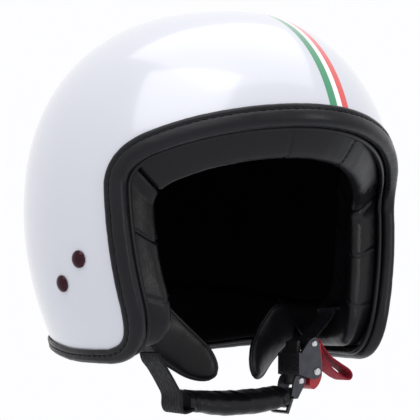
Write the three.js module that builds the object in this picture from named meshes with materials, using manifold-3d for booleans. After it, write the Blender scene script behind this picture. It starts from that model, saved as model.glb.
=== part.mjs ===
// An open face motorcycle helmet: glossy shell, foam liner, sewn comfort padding, leather edge binding,
// and a chin strap with a ratchet buckle. Millimetres, +Z up. The wearer faces -Y and has the right hand at -X.
// Heights are measured from the helmet's lower edge, and the last group moves the origin up to the wearer's crown.
import * as THREE from "three";
import { mergeVertices } from "three/addons/utils/BufferGeometryUtils.js";
import Module from "manifold-3d";

const wasm = await Module();
wasm.setup();

// ---- Driving dimensions ----
const HALF_WIDTH = 126; // at the widest level
const FRONT = 134; // from the centre to the foremost point
const REAR = 121.2;
const EQUATOR = 90.7; // height of the widest level
const DOME = 129.7; // from there to the top
const DOME_POWER = 2.18;
const SIDE_TUCK = 0.172; // share of the width lost at the lower edge
const REAR_TUCK = 0.071;
const FRONT_FLARE = 0.014;
const EGG = 0.09; // the front is a little narrower than the back
const POINT = 0.151; // both ends are more pointed than an ellipse
const END_SHARE = 0.85; // the layers are thinner at the front and back than at the sides

const SHELL_THICKNESS = 3.5;
const FOAM_OUTER = 4.9; // depths below the shell's outer face
const FOAM_INNER = 24;
const LINER_OUTER = 26.2;
const LINER_INNER = 33;
const CROWN_PAD_THICKNESS = 9;
const FOAM_START = 13; // the foam stops this far inside the edge
const LINER_START = 44;
const BOWL_ROWS = 6;

const BINDING_LIP = 10; // how far the binding covers the shell's face
const BINDING_LIP_BELOW = 6.5; // the same along the lower edge

const STRAP_Y = -32; // the chin strap hangs in this plane
const STRAP_WIDTH = 23;
const WEBBING = 1.8; // thickness
const EXIT_LEFT = { x: 71, z: 19 }; // where the webbing leaves the cheek padding
const EXIT_RIGHT = { x: 66, z: -8 }; // given on the left side and mirrored
const EXIT_GAP = 4.5; // the fixed webbing stops this far before its exit, and leaves the strap room to swing
const ANCHOR = { y: -27.3, z: 41.2 }; // middle of the two strap rivets
const RIVET_HALF_PITCH = 10.8;
const RIVET_SLOPE = Math.atan2(-12.7, 17.4); // the pair slopes down to the rear

const TONGUE_PIN = { x: 41.3, z: -23.8 };
const LEVER_PIN = { u: 11.4, w: 6.1 }; // outward from and along the tongue, from its pin
const BUCKLE_WIDTH = 22;
const TONGUE_WIDTH = 12;

const CENTRE = new THREE.Vector3(0, 0, 80); // rays from here meet every layer once
const POLE = new THREE.Vector3(0, 1, 1).normalize(); // middle of the shell, opposite its opening
const REACH = 115; // typical distance from the centre to the shell

// ---- Solids ----
// A geometry with its faces turned outwards.
function solidGeometry(points, index) {
  let volume = 0;
  for (let i = 0; i < index.length; i += 3) {
    const [a, b, c] = [points[index[i]], points[index[i + 1]], points[index[i + 2]]];
    volume += a.dot(b.clone().cross(c));
  }
  const turned = volume > 0 ? index : index.slice().reverse();
  const geometry = new THREE.BufferGeometry().setFromPoints(points);
  geometry.setIndex(turned);
  return geometry;
}

// Joins a row of sections, each with the points of one flat outline in the same order, into a closed solid.
// A closed row joins up with itself, and an open one is capped.
function loft(sections, outline, closed = false) {
  const n = outline.length;
  const index = [];
  const joins = closed ? sections.length : sections.length - 1;
  for (let i = 0; i < joins; i++) {
    const here = i * n;
    const next = ((i + 1) % sections.length) * n;
    for (let j = 0; j < n; j++) {
      const k = (j + 1) % n;
      index.push(here + j, here + k, next + j, here + k, next + k, next + j);
    }
  }
  if (!closed) {
    const turn = THREE.ShapeUtils.isClockWise(outline) ? -1 : 1;
    const last = (sections.length - 1) * n;
    for (const [a, b, c] of THREE.ShapeUtils.triangulateShape(outline, [])) {
      const clockwise = THREE.ShapeUtils.isClockWise([outline[a], outline[b], outline[c]]);
      const [p, q] = (clockwise ? -1 : 1) === turn ? [b, c] : [c, b];
      index.push(a, q, p, last + a, last + p, last + q);
    }
  }
  return solidGeometry(sections.flat(), index);
}

const outlineOf = (pairs) => pairs.map(([x, y]) => new THREE.Vector2(x, y));

function toSolid(geometry) {
  const bare = geometry.clone();
  bare.deleteAttribute("normal");
  bare.deleteAttribute("uv");
  const merged = mergeVertices(bare, 1e-4);
  return new wasm.Manifold(
    new wasm.Mesh({
      numProp: 3,
      vertProperties: merged.attributes.position.array,
      triVerts: new Uint32Array(merged.index.array),
    }),
  );
}

function toGeometry(solid) {
  const mesh = solid.getMesh();
  return new THREE.BufferGeometry()
    .setAttribute("position", new THREE.BufferAttribute(mesh.vertProperties, 3))
    .setIndex(new THREE.BufferAttribute(mesh.triVerts, 1));
}

const cut = (body, ...tools) =>
  toGeometry(tools.reduce((solid, tool) => solid.subtract(toSolid(tool)), toSolid(body)));
const join = (body, ...others) =>
  toGeometry(others.reduce((solid, other) => solid.add(toSolid(other)), toSolid(body)));

const place = (geometry, x, y, z) => geometry.translate(x, y, z);
const mirrored = (geometry) => {
  const copy = geometry.clone().scale(-1, 1, 1);
  const index = Array.from(copy.index.array).reverse();
  return copy.setIndex(index);
};

// ---- The helmet's layers ----
function levelAt(z, depth) {
  const rise = THREE.MathUtils.clamp((z - EQUATOR) / (DOME - depth), 0, 1);
  const closing = (1 - rise ** DOME_POWER) ** (1 / DOME_POWER);
  const below = Math.max(0, (EQUATOR - z) / EQUATOR) ** 2;
  return {
    half: (HALF_WIDTH - depth) * closing * (1 - SIDE_TUCK * below),
    front: (FRONT - END_SHARE * depth) * closing * (1 + FRONT_FLARE * below),
    rear: (REAR - END_SHARE * depth) * closing * (1 - REAR_TUCK * below),
  };
}

// Half the width of a layer at one place of its side view. It is 0 outside the layer.
function halfWidthAt(y, z, depth) {
  const { half, front, rear } = levelAt(z, depth);
  if (half <= 0) return 0;
  const forward = ((rear - front) / 2 - y) / ((front + rear) / 2);
  if (Math.abs(forward) >= 1) return 0;
  return half * Math.sqrt(1 - forward ** 2) * (1 - EGG * forward - POINT * forward ** 2);
}

// Where a ray from the centre meets a layer.
function onLayer(direction, depth) {
  let inside = 0;
  let outside = 2.5 * REACH;
  for (let i = 0; i < 30; i++) {
    const middle = (inside + outside) / 2;
    const p = CENTRE.clone().addScaledVector(direction, middle);
    if (Math.abs(p.x) < halfWidthAt(p.y, p.z, depth)) inside = middle;
    else outside = middle;
  }
  return CENTRE.clone().addScaledVector(direction, inside);
}

// ---- The shell's edge ----
// Side view of the edge from the brow round the cheek to the nape.
const edgePath = new THREE.Path()
  .moveTo(-145, 123)
  .quadraticCurveTo(-106, 117.5, -78, 105)
  .quadraticCurveTo(-65.5, 99, -64.5, 88)
  .lineTo(-66, 22)
  .quadraticCurveTo(-66, -8.5, -38, -8.8)
  .splineThru(outlineOf([[-5, -7.6], [25, -3.6], [60, 0.8], [95, -3], [140, -7.5]]));

const EDGE_SAMPLES = 900;
const EDGE_STEP = 19; // longest step along the edge
const EDGE_TURN = 0.42; // radians of turn that also make a step

// The share of the path at which it crosses the middle plane, searched between two shares.
function crossing(outside, inside) {
  for (let i = 0; i < 40; i++) {
    const middle = (outside + inside) / 2;
    const p = edgePath.getPointAt(middle);
    if (halfWidthAt(p.x, p.y, 0) > 0) inside = middle;
    else outside = middle;
  }
  return inside;
}

// The left half of the edge in space, from brow to nape, with its steps shorter in the corners.
function halfEdge() {
  const start = crossing(0, 0.3);
  const end = crossing(1, 0.7);
  const dense = [];
  for (let i = 0; i <= EDGE_SAMPLES; i++) {
    const share = (1 - Math.cos((Math.PI * i) / EDGE_SAMPLES)) / 2;
    const p = edgePath.getPointAt(start + (end - start) * share);
    dense.push(new THREE.Vector3(halfWidthAt(p.x, p.y, 0), p.x, p.y));
  }
  dense[0].x = 0;
  dense[EDGE_SAMPLES].x = 0;
  const measure = [0];
  for (let i = 1; i <= EDGE_SAMPLES; i++) {
    const step = dense[i].clone().sub(dense[i - 1]);
    const before = i > 1 ? dense[i - 1].clone().sub(dense[i - 2]) : step;
    measure.push(measure[i - 1] + step.length() / EDGE_STEP + step.angleTo(before) / EDGE_TURN);
  }
  const count = Math.ceil(measure[EDGE_SAMPLES]);
  const picked = [];
  for (let k = 0, i = 0; k < count; k++) {
    while (measure[i] < (k * measure[EDGE_SAMPLES]) / count) i++;
    picked.push(dense[i]);
  }
  picked.push(dense[EDGE_SAMPLES]);
  return picked;
}

const leftEdge = halfEdge();
const rightEdge = leftEdge.slice(1, -1).reverse().map((p) => new THREE.Vector3(-p.x, p.y, p.z));
const edge = [...leftEdge, ...rightEdge];
const COLUMNS = edge.length;
const NAPE = leftEdge.length - 1; // column at the nape; column 0 is at the brow
const columns = edge.map((p) => p.clone().sub(CENTRE).normalize());

// The column where the left edge comes nearest to a place of the side view.
function columnNear(y, z) {
  const distances = leftEdge.map((p) => Math.hypot(p.y - y, p.z - z));
  return distances.indexOf(Math.min(...distances));
}
const TEMPLE = columnNear(-67, 99);
const CHEEK_END = columnNear(15, -5);
const JAW = columnNear(-56, -4);

// The direction of a column, which may lie between two, some millimetres from the edge towards the pole.
function directionAt(column, inward) {
  const low = Math.floor(column);
  const from = columns[(low + COLUMNS) % COLUMNS];
  const to = columns[(low + 1 + COLUMNS) % COLUMNS];
  const start = from.clone().lerp(to, column - low).normalize();
  const axis = start.clone().cross(POLE).normalize();
  return start.applyAxisAngle(axis, inward / REACH);
}
const layerPoint = (column, inward, depth) => onLayer(directionAt(column, inward), depth);

// A bowl between two layers, from some millimetres inside the edge to the pole.
// All bowls share their rows above the liner's start, so that their flat faces stay parallel.
function bowl(outerDepth, innerDepth, inward, stride = 1) {
  const used = columns.filter((_, i) => i % stride === 0);
  const lowRows = [0, FOAM_START].filter((start) => start >= inward && start < LINER_START && inward < LINER_START);
  const rows = lowRows.length + BOWL_ROWS;
  const points = [];
  const index = [];
  for (const depth of [outerDepth, innerDepth]) {
    for (const column of used) {
      const axis = column.clone().cross(POLE).normalize();
      const first = LINER_START / REACH;
      const whole = column.angleTo(POLE);
      const turns = lowRows.map((start) => start / REACH);
      for (let row = 0; row < BOWL_ROWS; row++) {
        turns.push(first + ((whole - first) * row) / BOWL_ROWS);
      }
      points.push(...turns.map((turn) => onLayer(column.clone().applyAxisAngle(axis, turn), depth)));
    }
  }
  const side = used.length * rows;
  const poles = [2 * side, 2 * side + 1];
  points.push(onLayer(POLE, outerDepth), onLayer(POLE, innerDepth));
  for (let i = 0; i < used.length; i++) {
    const here = i * rows;
    const next = ((i + 1) % used.length) * rows;
    const leftHalf = i < used.length / 2;
    for (let row = 0; row < rows - 1; row++) {
      const [a, b, c, d] = [here + row, next + row, here + row + 1, next + row + 1];
      const halves = leftHalf ? [a, b, c, b, d, c] : [a, b, d, a, d, c];
      index.push(...halves, ...halves.reverse().map((corner) => side + corner));
    }
    const top = rows - 1;
    index.push(here + top, next + top, poles[0], side + next + top, side + here + top, poles[1]);
    index.push(here, side + here, next, next, side + here, side + next);
  }
  return solidGeometry(points, index);
}

// A pad: one outline of (millimetres inwards from the edge, depth) carried along a run of columns.
function pad(from, to, outlineAt) {
  const stops = [from];
  for (let column = Math.ceil(from); column < to; column++) stops.push(column);
  stops.push(to);
  const sections = stops.map((column) =>
    outlineAt((column - from) / (to - from)).map(([inward, depth]) => layerPoint(column, inward, depth)),
  );
  return loft(sections, outlineOf(outlineAt(0.5)));
}

// ---- Frames along the edge, for what is wrapped round it ----
function normalAt(direction) {
  const across = new THREE.Vector3(0, -direction.z, direction.y).normalize();
  const other = direction.clone().cross(across).normalize();
  const nudged = [across, other].map((axis) => {
    const a = onLayer(direction.clone().addScaledVector(axis, 0.02).normalize(), 0);
    const b = onLayer(direction.clone().addScaledVector(axis, -0.02).normalize(), 0);
    return a.sub(b);
  });
  const normal = nudged[0].cross(nudged[1]).normalize();
  return normal.dot(direction) > 0 ? normal : normal.negate();
}

const edgeFrames = edge.map((at, i) => {
  const along = edge[(i + 1) % COLUMNS].clone().sub(edge[(i + COLUMNS - 1) % COLUMNS]).normalize();
  const out = normalAt(columns[i]);
  along.addScaledVector(out, -along.dot(out)).normalize();
  const off = along.clone().cross(out).normalize();
  if (off.dot(POLE) > 0) off.negate();
  return { at, out, off };
});

// How much the edge is part of the lower edge: 0 round the face, 1 from the jaw to the nape.
function lowness(column) {
  const fromBrow = Math.min(column, COLUMNS - column);
  return THREE.MathUtils.smoothstep(fromBrow, JAW - 3, JAW + 3);
}

// An outline of (millimetres off the edge into the opening, millimetres out of the shell) carried round the edge.
function wrap(outlineAt) {
  const sections = edgeFrames.map(({ at, out, off }, i) =>
    outlineAt(lowness(i)).map(([away, up]) =>
      at.clone().addScaledVector(off, away).addScaledVector(out, up),
    ),
  );
  return loft(sections, outlineOf(outlineAt(0)), true);
}

function bindingOutline(low) {
  const lip = THREE.MathUtils.lerp(BINDING_LIP, BINDING_LIP_BELOW, low);
  return [
    [-lip, 0.5], [0.5, 0.5], [0.5, -4.3], [-5.5, -4.6], [-5.5, -6.4], [1, -6.8],
    [3.3, -4.8], [4, -1.5], [3.1, 1.4], [0.5, 2.8], [2.5 - lip, 2.6], [-lip, 1.6],
  ];
}

function pipingOutline() {
  const radius = 1.6;
  return Array.from({ length: 5 }, (_, i) => [
    1.4 + radius * Math.cos((i * 2 * Math.PI) / 5),
    -9 + radius * Math.sin((i * 2 * Math.PI) / 5),
  ]);
}

// ---- Comfort padding ----
const PAD_FRONT = 2.4; // gap between the edge and the padding's face

// The lean keeps the padding's face in the plane of the opening: it moves the face out by this share of its depth.
function edgePadOutline(length, face, back, lean) {
  const front = (depth) => PAD_FRONT - lean * (depth - 12);
  return [
    [PAD_FRONT + 1.4, 10.4], [PAD_FRONT, 13], [front(20), 20], [front(face - 4), face - 4],
    [front(face) + 4, face], [12, face + 0.5], [length - 4, back], [length, back - 2], [length, LINER_OUTER],
    [FOAM_START - 1.9, LINER_OUTER], [FOAM_START - 1.9, 10.4],
  ];
}
const CHEEK_LEAN = 0.85;
const BROW_LEAN = 0.55;
const NECK_LEAN = 0.7;

const browPad = () =>
  pad(0.08 - TEMPLE, TEMPLE - 0.08, (share) => {
    const middle = Math.sin(Math.PI * share);
    const lean = THREE.MathUtils.lerp(CHEEK_LEAN, BROW_LEAN, middle);
    return edgePadOutline(LINER_START - 3, 33 + 2 * middle, 33, lean);
  });

const cheekPad = () =>
  pad(TEMPLE + 0.08, CHEEK_END, (share) => {
    const plump = Math.sin(Math.PI * Math.min(1, share * 1.3));
    return edgePadOutline(LINER_START - 3, 32 - 2 * share, 33 + 5 * plump, CHEEK_LEAN);
  });

const neckRoll = () =>
  pad(CHEEK_END + 0.12, 2 * NAPE - CHEEK_END - 0.12, (share) => {
    const middle = Math.sin(Math.PI * share);
    const lean = THREE.MathUtils.lerp(CHEEK_LEAN, NECK_LEAN, middle);
    return edgePadOutline(LINER_START - 6, 30 + 3 * middle, 31 + 2 * middle, lean);
  });

const CROWN_PAD_RADIUS = 38;
const CROWN_PAD_GAP = 2.6;
const CROWN_HEIGHT = EQUATOR + DOME - LINER_INNER - CROWN_PAD_GAP - CROWN_PAD_THICKNESS; // the wearer's crown
function crownPad() {
  const top = CROWN_HEIGHT + CROWN_PAD_THICKNESS;
  const profile = [[0, CROWN_HEIGHT], [CROWN_PAD_RADIUS - 4, CROWN_HEIGHT], [CROWN_PAD_RADIUS, CROWN_HEIGHT + 1]];
  for (const radius of [30, 20, 10, 0]) {
    profile.push([radius, top - 0.0046 * radius ** 2]);
  }
  return new THREE.LatheGeometry(outlineOf(profile), 20).rotateX(Math.PI / 2);
}

// ---- Webbing, and anything else flat that follows a line in the plane of the strap ----
// A band with its width along Y. Each place of its route is {x, y, z}.
// The band starts turned about Z by the tilt and straightens out on its way.
function band(route, width, thickness, tilt = 0) {
  const spots = route.map(({ x, y = STRAP_Y, z }) => new THREE.Vector3(x, y, z));
  const sections = spots.map((spot, i) => {
    const ahead = spots[Math.min(i + 1, spots.length - 1)];
    const behind = spots[Math.max(i - 1, 0)];
    const turned = tilt * (1 - THREE.MathUtils.smoothstep(i / (spots.length - 1), 0.35, 0.8));
    const side = new THREE.Vector3(-Math.sin(turned), Math.cos(turned), 0);
    const up = side.clone().cross(ahead.clone().sub(behind)).normalize().multiplyScalar(-thickness / 2);
    side.multiplyScalar(width / 2);
    return [[-1, -1], [1, -1], [1, 1], [-1, 1]].map(([s, u]) =>
      spot.clone().addScaledVector(side, s).addScaledVector(up, u),
    );
  });
  return loft(sections, outlineOf([[-1, -1], [1, -1], [1, 1], [-1, 1]]));
}

// A smooth route through a few places.
function smoothRoute(places, steps) {
  const spots = places.map(({ x, y = STRAP_Y, z }) => new THREE.Vector3(x, y, z));
  return new THREE.CatmullRomCurve3(spots, false, "centripetal").getSpacedPoints(steps);
}

const ANCHOR_DEPTH = 9.9; // middle of the webbing below the shell's face, at the rivets
const anchorX = (z) => halfWidthAt(ANCHOR.y, z, 0) - ANCHOR_DEPTH;
const anchorSpot = new THREE.Vector3(halfWidthAt(ANCHOR.y, ANCHOR.z, 0), ANCHOR.y, ANCHOR.z);
const anchorNormal = normalAt(anchorSpot.clone().sub(CENTRE).normalize());
const ANCHOR_TILT = Math.atan2(anchorNormal.y, anchorNormal.x);
function anchorRoute(bend, lean, exit) {
  const places = [
    { x: anchorX(58), y: ANCHOR.y, z: 58 },
    { x: anchorX(ANCHOR.z), y: ANCHOR.y, z: ANCHOR.z },
    { x: anchorX(29) - 1, y: ANCHOR.y - 1, z: 29 },
    { x: bend.x, y: -28, z: bend.z },
    { x: exit.x + lean, z: exit.z + EXIT_GAP },
  ];
  return smoothRoute(places, 14);
}
const leftRoute = anchorRoute({ x: 88, z: 24 }, 3, EXIT_LEFT);
const rightRoute = anchorRoute({ x: 84, z: 16 }, 3, EXIT_RIGHT);

// ---- Strap anchors, in a frame with +Z out of the shell and +X from the front rivet to the rear one ----
const anchorFrame = new THREE.Matrix4();
{
  const along = new THREE.Vector3(0, Math.cos(RIVET_SLOPE), Math.sin(RIVET_SLOPE));
  along.addScaledVector(anchorNormal, -along.dot(anchorNormal)).normalize();
  anchorFrame.makeBasis(along, anchorNormal.clone().cross(along), anchorNormal).setPosition(anchorSpot);
}
const onAnchor = (geometry) => geometry.applyMatrix4(anchorFrame);

const RIVET_SHANK = 2.4;
const RIVET_LENGTH = 14;
function disc(radius, low, high, x, segments = 12) {
  return new THREE.CylinderGeometry(radius, radius, high - low, segments)
    .rotateX(Math.PI / 2)
    .translate(x, 0, (low + high) / 2);
}
const rivetHole = (x) => onAnchor(disc(RIVET_SHANK + 0.35, -RIVET_LENGTH - 2, 4, x));
const rivetHoles = () => [-RIVET_HALF_PITCH, RIVET_HALF_PITCH].map(rivetHole);

function rivet(x) {
  const profile = outlineOf([
    [0, -RIVET_LENGTH], [3.7, -RIVET_LENGTH], [3.9, -12.4], [RIVET_SHANK, -12.3], [RIVET_SHANK, 0.6],
    [5.7, 0.6], [5.6, 1.5], [4.2, 2.5], [0, 3],
  ]);
  return onAnchor(new THREE.LatheGeometry(profile, 12).rotateX(Math.PI / 2).translate(x, 0, 0));
}
const washer = (x) => onAnchor(cut(disc(5, -12, -11, x), disc(RIVET_SHANK + 0.3, -13, -10, x)));

function anchorPlate() {
  const half = RIVET_HALF_PITCH + 6;
  const outline = new THREE.Shape()
    .absarc(half - 7, 0, 7, -Math.PI / 2, Math.PI / 2)
    .absarc(7 - half, 0, 7, Math.PI / 2, (3 * Math.PI) / 2);
  const plate = new THREE.ExtrudeGeometry(outline, { depth: 1.2, bevelEnabled: false, curveSegments: 6 });
  return cut(onAnchor(plate.translate(0, 0, -7.9)), ...rivetHoles());
}

const anchorPocket = () => onAnchor(new THREE.BoxGeometry(48, 36, 22).translate(0, 0, -5));
const webbingRoom = (route, end) => band([...route, end], STRAP_WIDTH + 1.6, WEBBING + 1.8, ANCHOR_TILT);

// ---- Press studs that hold the cheek pads, in the gap between foam and padding ----
function studFrame(column, inward) {
  const direction = directionAt(column, inward);
  const at = onLayer(direction, LINER_OUTER - 0.35);
  const out = normalAt(direction);
  return new THREE.Matrix4().lookAt(out, new THREE.Vector3(), new THREE.Vector3(0, 1, 0)).setPosition(at);
}
const studPlaces = { upper: [TEMPLE + 2, 30], lower: [TEMPLE + 5.5, 27] };
function stud(column, inward) {
  const profile = outlineOf([[0, -4], [2.6, -4], [2.9, -3], [2.2, -2.4], [2.2, -1.2], [6.5, -1.2], [6.5, -0.5], [0, -0.5]]);
  return new THREE.LatheGeometry(profile, 10).rotateX(Math.PI / 2).applyMatrix4(studFrame(column, inward));
}
const studRoom = (column, inward) => disc(7.2, -5, 1.2, 0).applyMatrix4(studFrame(column, inward));

// ---- Strap guards: padded leaves that hang inside, between the neck and the buckle ----
const GUARD_ROOT = new THREE.Vector3(62, -6, 20);
const GUARD_TIP = new THREE.Vector3(15, -24, -19);
const GUARD_THICKNESS = 8;
function strapGuard() {
  const axis = GUARD_TIP.clone().sub(GUARD_ROOT);
  const flat = new THREE.Vector3(axis.x, axis.y, 0).normalize();
  const face = new THREE.Vector3(-flat.y, flat.x, 0);
  const side = face.clone().cross(axis).normalize();
  const steps = 9;
  const outline = Array.from({ length: 10 }, (_, i) => {
    const turn = (i * 2 * Math.PI) / 10;
    return [Math.cos(turn), Math.sin(turn)];
  });
  const sections = [];
  for (let i = 0; i <= steps; i++) {
    const share = i / steps;
    const width = 17 * (1 - share) + 9.5 * share;
    const round = Math.sqrt(1 - Math.max(0, (share - 0.75) / 0.26) ** 2);
    const bow = -5 * Math.sin(Math.PI * share);
    const middle = GUARD_ROOT.clone().addScaledVector(axis, share).addScaledVector(face, bow);
    sections.push(
      outline.map(([a, b]) =>
        middle.clone().addScaledVector(side, a * width * round).addScaledVector(face, (b * GUARD_THICKNESS * Math.min(1, round + 0.2)) / 2),
      ),
    );
  }
  return loft(sections, outlineOf(outline));
}

// ---- Buckle frame: u is outward from the tongue, w is along it, from the tongue's pin ----
// The tongue is bent round the exit of the webbing on the other side, where the released strap turns.
const TONGUE_TIP = 26;
const strapTurn = new THREE.Vector2(-EXIT_RIGHT.x, EXIT_RIGHT.z);
const tongueArm = new THREE.Vector2(TONGUE_PIN.x, TONGUE_PIN.z).sub(strapTurn);
const TONGUE_LEAN = -tongueArm.angle() - TONGUE_TIP / 2 / tongueArm.length();
const buckleFrame = new THREE.Matrix4().makeBasis(
  new THREE.Vector3(Math.cos(TONGUE_LEAN), 0, -Math.sin(TONGUE_LEAN)),
  new THREE.Vector3(Math.sin(TONGUE_LEAN), 0, Math.cos(TONGUE_LEAN)),
  new THREE.Vector3(0, -1, 0),
).setPosition(TONGUE_PIN.x, STRAP_Y, TONGUE_PIN.z);

// A plate with its outline in (u, w), centred on the strap's plane or shifted along Y.
function plate(pairs, width, shift = 0) {
  const shape = pairs instanceof THREE.Shape ? pairs : new THREE.Shape(outlineOf(pairs));
  return new THREE.ExtrudeGeometry(shape, { depth: width, bevelEnabled: false, curveSegments: 5 })
    .translate(0, 0, -width / 2 - shift)
    .applyMatrix4(buckleFrame);
}
function roundBar(u, w, radius, length, segments = 14) {
  return new THREE.CylinderGeometry(radius, radius, length, segments)
    .rotateX(Math.PI / 2)
    .translate(u, w, 0)
    .applyMatrix4(buckleFrame);
}

const STRAP_BAR = { u: 9, w: 24 };
function buckleHousing() {
  const wall = new THREE.Shape()
    .moveTo(-3.6, 4)
    .lineTo(6, 1.5)
    .quadraticCurveTo(15.2, 0.5, 15.6, 6)
    .quadraticCurveTo(15.2, 16, 13.6, 23)
    .quadraticCurveTo(13.4, 28.5, 9, 28)
    .lineTo(5.4, 26)
    .lineTo(-3.6, 15)
    .closePath();
  const half = BUCKLE_WIDTH / 2;
  const base = plate([[-3.6, 4], [-2, 4], [-2, 18], [-3.6, 18]], BUCKLE_WIDTH);
  const walls = [-1, 1].map((side) => plate(wall, 1.6, side * (half - 0.8)));
  const guides = [-1, 1].map((side) =>
    plate([[-2.4, 6], [2.2, 6], [2.2, 17], [-2.4, 17]], 1.6, side * (TONGUE_WIDTH / 2 + 1.4)),
  );
  const body = join(base, ...walls, ...guides);
  return cut(
    body,
    roundBar(LEVER_PIN.u, LEVER_PIN.w, 1.75, 40),
    roundBar(STRAP_BAR.u, STRAP_BAR.w, 1.55, 40),
  );
}

// A pin with a wider head at each end, along Y.
function headedPin(u, w, radius, length, head) {
  const half = length / 2;
  const profile = outlineOf([
    [0, -half - 1.2], [head - 0.5, -half - 1.2], [head, -half - 0.3], [radius, -half - 0.3],
    [radius, half + 0.3], [head, half + 0.3], [head - 0.5, half + 1.2], [0, half + 1.2],
  ]);
  return new THREE.LatheGeometry(profile, 12).rotateX(Math.PI / 2).translate(u, w, 0).applyMatrix4(buckleFrame);
}

const SPRING_GAP = 6.4; // the lever's fork leaves this much for the spring
function releaseLever() {
  const arm = new THREE.Shape()
    .moveTo(7.2, -1.5)
    .quadraticCurveTo(7.4, -5, 10.8, -5.4)
    .quadraticCurveTo(15.6, -3.6, 17.6, 3)
    .quadraticCurveTo(18.6, 12, 17, 20)
    .lineTo(17.2, 24.6)
    .lineTo(15, 24.6)
    .lineTo(14.2, 19.4)
    .lineTo(8.7, 18.6)
    .lineTo(8.4, 8)
    .closePath();
  const body = plate(arm, BUCKLE_WIDTH - 4.6);
  const fork = plate([[4, 2.3], [14.9, 2.3], [14.9, 10.1], [4, 10.1]], SPRING_GAP);
  const slot = plate([[13.4, 20], [19, 20], [19, 23.3], [13.4, 23.3]], 14.4);
  return cut(body, fork, slot, roundBar(LEVER_PIN.u, LEVER_PIN.w, 1.75, 40));
}

// A hardened tooth plate under the lever that drops into the tongue.
const pawl = () => plate([[3.1, 12.5], [4, 10.8], [8, 11.8], [8.1, 16.5], [6.6, 16.5], [6.3, 14]], TONGUE_WIDTH);

function leverSpring() {
  const turns = 3;
  const wire = 0.45;
  const radius = 2.7;
  const spots = [];
  for (let i = 0; i <= 8 * turns; i++) {
    const turn = (i * Math.PI) / 4;
    spots.push(
      new THREE.Vector3(
        LEVER_PIN.u + radius * Math.cos(turn),
        LEVER_PIN.w + radius * Math.sin(turn),
        -2 + (4 * i) / (8 * turns),
      ),
    );
  }
  const section = new THREE.Shape().absarc(0, 0, wire, 0, 2 * Math.PI);
  return new THREE.ExtrudeGeometry(section, {
    steps: spots.length - 1,
    curveSegments: 3,
    extrudePath: new THREE.CatmullRomCurve3(spots),
  }).applyMatrix4(buckleFrame);
}

const TOOTH_PITCH = 2.5;
function ratchetTongue() {
  const teeth = [];
  for (let w = 9; w + TOOTH_PITCH <= TONGUE_TIP - 2; w += TOOTH_PITCH) {
    teeth.push([1.9, w], [0.9, w + 0.3]);
  }
  const outline = [
    [-1.5, -1.5], [0, -2.8], [1.9, -1.5], ...teeth,
    [1.2, TONGUE_TIP - 1], [0, TONGUE_TIP], [-1.2, TONGUE_TIP - 1], [-1.5, TONGUE_TIP - 3],
  ];
  const bent = outline.map(([u, w]) => {
    const angle = tongueArm.angle() + w / tongueArm.length();
    return strapTurn.clone().add(new THREE.Vector2(Math.cos(angle), Math.sin(angle)).multiplyScalar(tongueArm.length() + u));
  });
  const body = new THREE.ExtrudeGeometry(new THREE.Shape(bent), { depth: TONGUE_WIDTH, bevelEnabled: false })
    .rotateX(Math.PI / 2)
    .translate(0, STRAP_Y + TONGUE_WIDTH / 2, 0);
  return cut(body, roundBar(0, 0, 1.3, 40));
}

// ---- Pull tab: a loop of red webbing sewn through the lever's slot ----
const TAB_WIDTH = 13;
function pullTab() {
  const route = [
    [15.9, 26.6], [18.2, 26.4], [21.4, 22], [28, 15.8], [37, 11], [44.5, 7.2], [47, 3.6], [44.4, 1],
    [37.5, 3], [29, 8], [23, 14], [20.4, 19], [18.2, 21.9], [15.4, 22.1],
  ];
  const inner = new THREE.CatmullRomCurve3(route.map(([u, w]) => new THREE.Vector3(u, w, 0)), false, "centripetal");
  const spots = inner.getSpacedPoints(26);
  const half = 0.8;
  const sections = spots.map((spot, i) => {
    const along = spots[Math.min(i + 1, 26)].clone().sub(spots[Math.max(i - 1, 0)]).normalize();
    const up = new THREE.Vector3(-along.y, along.x, 0).multiplyScalar(half);
    return [[-1, -1], [1, -1], [1, 1], [-1, 1]].map(([s, n]) =>
      spot.clone().addScaledVector(up, n).setZ((s * TAB_WIDTH) / 2),
    );
  });
  return loft(sections, outlineOf([[-1, -1], [1, -1], [1, 1], [-1, 1]])).applyMatrix4(buckleFrame);
}

// ---- The chin side: bracket, adjuster, padded sleeve and webbing ----
const SLEEVE = { left: 29.5, right: -45, width: 27, thickness: 12 };
const sleeveLine = (x) => -36 + 0.0024 * (x + 6) ** 2;

function tongueBracket() {
  const ear = (side) =>
    new THREE.ExtrudeGeometry(
      new THREE.Shape()
        .moveTo(33.6, -33)
        .lineTo(35.4, -25)
        .quadraticCurveTo(36.8, -19.4, 41.3, -19.4)
        .quadraticCurveTo(46.4, -20.4, 45.6, -25)
        .lineTo(38.6, -35)
        .closePath(),
      { depth: 1.6, bevelEnabled: false, curveSegments: 6 },
    ).rotateX(Math.PI / 2).translate(0, STRAP_Y + side * (TONGUE_WIDTH / 2 + 1.4) + 0.8, 0);
  const bridge = new THREE.BoxGeometry(2.6, TONGUE_WIDTH + 4.4, 7).translate(36.6, STRAP_Y, -31.5);
  return cut(join(bridge, ear(-1), ear(1)), roundBar(0, 0, 1.3, 40));
}

function strapAdjuster() {
  const body = new THREE.BoxGeometry(2, TONGUE_WIDTH + 4.4, 10);
  const slots = [-2.2, 2.2].map((z) => new THREE.BoxGeometry(4, TONGUE_WIDTH + 0.4, 2.2).translate(0, 0, z));
  return cut(body, ...slots).rotateY(THREE.MathUtils.degToRad(25)).translate(32.1, STRAP_Y, -39.3);
}

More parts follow.
